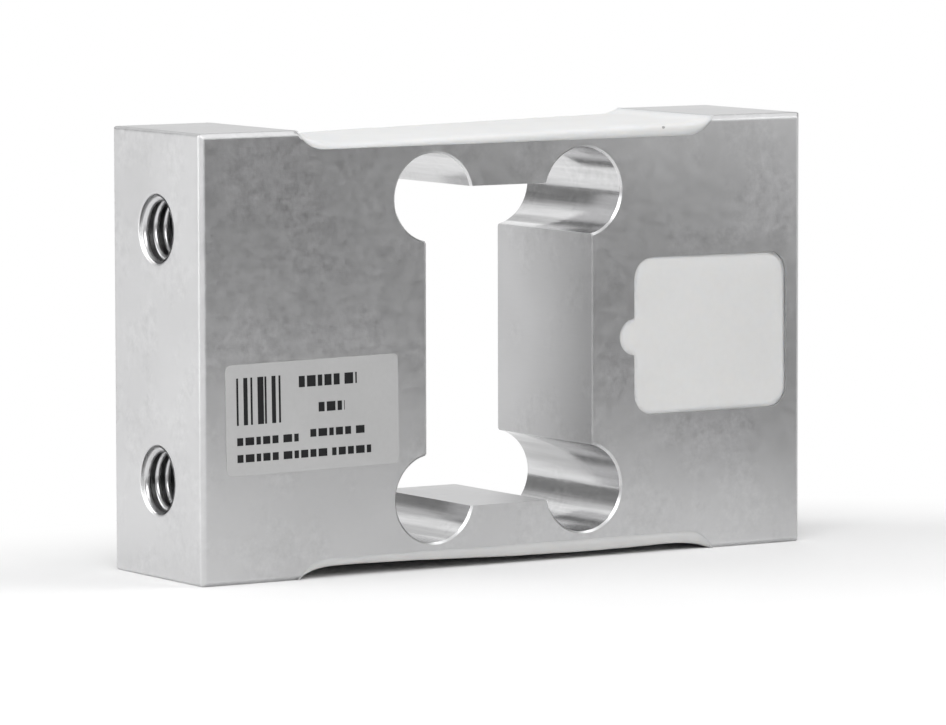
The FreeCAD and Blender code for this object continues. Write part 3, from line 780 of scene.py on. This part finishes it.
def make_world():
    """Pale ceiling and back wall in a dark room, with a dim wall at the left."""
    world = bpy.data.worlds.new("studio")
    bpy.context.scene.world = world
    world.use_nodes = True
    nodes = Nodes(world.node_tree)
    axes = nodes.axes("Generated")
    ceiling = nodes.remap(axes["Z"], CEILING_FROM, CEILING_TO, 0.0, CEILING_LEVEL, smooth=True)
    back = nodes.remap(axes["Y"], BACK_FROM, BACK_TO, 0.0, 1.0, smooth=True)
    height = nodes.remap(axes["Z"], BACK_LOW, BACK_HIGH, BACK_LOW_LEVEL, BACK_HIGH_LEVEL,
                         smooth=True)
    back = nodes.math("MULTIPLY", back, height)
    left = nodes.remap(axes["X"], LEFT_FROM, LEFT_TO, LEFT_LEVEL, 0.0, smooth=True)
    level = nodes.math("MAXIMUM", ceiling, nodes.math("MAXIMUM", back, left))
    background = nodes.add("ShaderNodeBackground")
    nodes.link(nodes.grey(level), background.inputs["Color"])
    output = nodes.add("ShaderNodeOutputWorld")
    nodes.link(background.outputs[0], output.inputs["Surface"])


def make_camera():
    """Camera placed and rolled as the photograph's perspective asks."""
    azimuth = math.radians(CAMERA_AZIMUTH)
    elevation = math.radians(CAMERA_ELEVATION)
    roll = math.radians(CAMERA_ROLL)
    back = Vector((math.sin(azimuth) * math.cos(elevation),
                   -math.cos(azimuth) * math.cos(elevation), math.sin(elevation)))
    right = Vector((math.cos(azimuth), math.sin(azimuth), 0.0))
    up = back.cross(right)
    right, up = (right * math.cos(roll) + up * math.sin(roll),
                 up * math.cos(roll) - right * math.sin(roll))
    data = bpy.data.cameras.new("camera")
    data.lens = CAMERA_FOCAL_MM
    data.sensor_width = CAMERA_SENSOR_MM
    data.clip_start = 0.01
    camera = bpy.data.objects.new("camera", data)
    turn = Matrix((right, up, back)).transposed().to_4x4()
    camera.matrix_world = Matrix.Translation(CAMERA_TARGET + back * CAMERA_DISTANCE) @ turn
    bpy.context.scene.collection.objects.link(camera)
    bpy.context.scene.camera = camera


def main():
    make_camera()
    make_world()
    make_floor()
    for name, power, size, place in LAMPS:
        area_light(name, power, size, place)

    dress("beam", aluminium_material())
    dress("label_film", film_material())
    for slot, colour, roughness, metallic in SEALED_FINISHES:
        dress(slot, plain_material(slot, colour, roughness, metallic))

    silicone = silicone_material("white_silicone", (0.84, 0.84, 0.835))
    # Darker copy of the white silicone for the front pocket: painted shade on the front-facing fill
    pocket = silicone_material("pocket_silicone_painted_shade", (0.76, 0.76, 0.755))
    # Darker copy of the white silicone for the bottom pour: painted shade from the floor and the gap
    # beneath
    shaded_bottom_silicone = silicone_material("bottom_silicone_painted_shade", (0.6, 0.6, 0.595))
    make_threads(thread_material())
    recess_pour("top_pour", "top_potting", TOP_SURFACE, silicone)
    recess_pour("bottom_pour", "bottom_potting", BOTTOM_SURFACE, shaded_bottom_silicone)
    pocket_fill("pocket_pour", "pocket_potting", pocket)
    pour_pore(plain_material("pit_shadow", (0.4, 0.4, 0.395), 0.7))
    label_marks(ink_material())

    bpy.context.scene.view_settings.view_transform = "Standard"


main()
